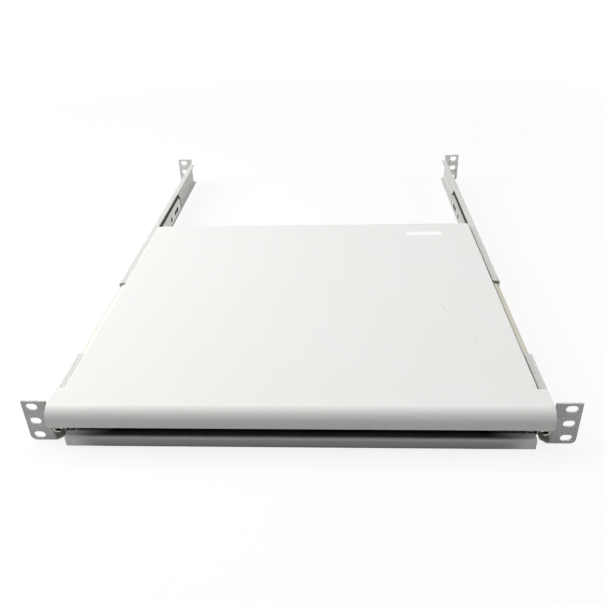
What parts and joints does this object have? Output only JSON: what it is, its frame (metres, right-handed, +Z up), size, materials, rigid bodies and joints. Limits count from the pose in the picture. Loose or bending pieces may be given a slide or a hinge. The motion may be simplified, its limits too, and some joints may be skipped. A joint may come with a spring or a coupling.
{
  "type": "rack keyboard shelf",
  "caption": "Sliding sheet-steel shelf for an equipment rack, with a bullnose front, a pull-out keyboard tray, ball-bearing slides and depth-adjustable slotted brackets.",
  "frame": {"origin": "centre of the outer four slots of the front ears, on the ears' front face", "axes": "+X to the right across the rack, +Y to the back of the rack, +Z up"},
  "size_m": [0.4826, 0.674, 0.044],
  "materials": {
    "painted_steel": "light grey powder coat, fine satin",
    "zinc_steel": "cold-rolled strip, zinc plated and passivated",
    "cage_steel": "thin pressed strip",
    "bearing_steel": "polished, greased",
    "black_rubber": "matt",
    "zinc_fasteners": "bright zinc plate"
  },
  "bodies": {
    "rails": {"right_front_bracket": "painted_steel", "left_front_bracket": "painted_steel", "right_slide_outer": "zinc_steel", "left_slide_outer": "zinc_steel", "right_bumper": "black_rubber", "left_bumper": "black_rubber", "right_bracket_screws": "zinc_fasteners", "left_bracket_screws": "zinc_fasteners", "right_bracket_nuts": "zinc_fasteners", "left_bracket_nuts": "zinc_fasteners", "right_clamp_screws": "zinc_fasteners", "left_clamp_screws": "zinc_fasteners", "right_clamp_washers": "zinc_fasteners", "left_clamp_washers": "zinc_fasteners", "right_clamp_nuts": "zinc_fasteners", "left_clamp_nuts": "zinc_fasteners"},
    "shelf": {"shelf_plate": "painted_steel", "right_slide_inner": "zinc_steel", "left_slide_inner": "zinc_steel", "right_drawer_screws": "zinc_fasteners", "left_drawer_screws": "zinc_fasteners"},
    "tray": {"keyboard_tray": "painted_steel", "right_tray_rail": "painted_steel", "left_tray_rail": "painted_steel"},
    "right_bearing": {"right_ball_cages": "cage_steel", "right_balls": "bearing_steel"},
    "left_bearing": {"left_ball_cages": "cage_steel", "left_balls": "bearing_steel"},
    "right_rear": {"right_rear_bracket": "painted_steel"},
    "left_rear": {"left_rear_bracket": "painted_steel"}
  },
  "joints": [
    {"name": "shelf_slide", "type": "slide", "parent": "rails", "child": "shelf", "axis": [0, -1, 0], "range_m": [0, 0.37]},
    {"name": "tray_slide", "type": "slide", "parent": "shelf", "child": "tray", "axis": [0, -1, 0], "range_m": [0, 0.24]},
    {"name": "right_bearing_slide", "type": "slide", "parent": "rails", "child": "right_bearing", "axis": [0, -1, 0], "range_m": [0, 0.185]},
    {"name": "left_bearing_slide", "type": "slide", "parent": "rails", "child": "left_bearing", "axis": [0, -1, 0], "range_m": [0, 0.185]},
    {"name": "right_depth_adjust", "type": "slide", "parent": "rails", "child": "right_rear", "axis": [0, 1, 0], "range_m": [-0.1, 0.03]},
    {"name": "left_depth_adjust", "type": "slide", "parent": "rails", "child": "left_rear", "axis": [0, 1, 0], "range_m": [-0.1, 0.03]}
  ],
  "couplings": [
    {"joint": "right_bearing_slide", "follows": "shelf_slide", "ratio": 0.5},
    {"joint": "left_bearing_slide", "follows": "shelf_slide", "ratio": 0.5}
  ]
}
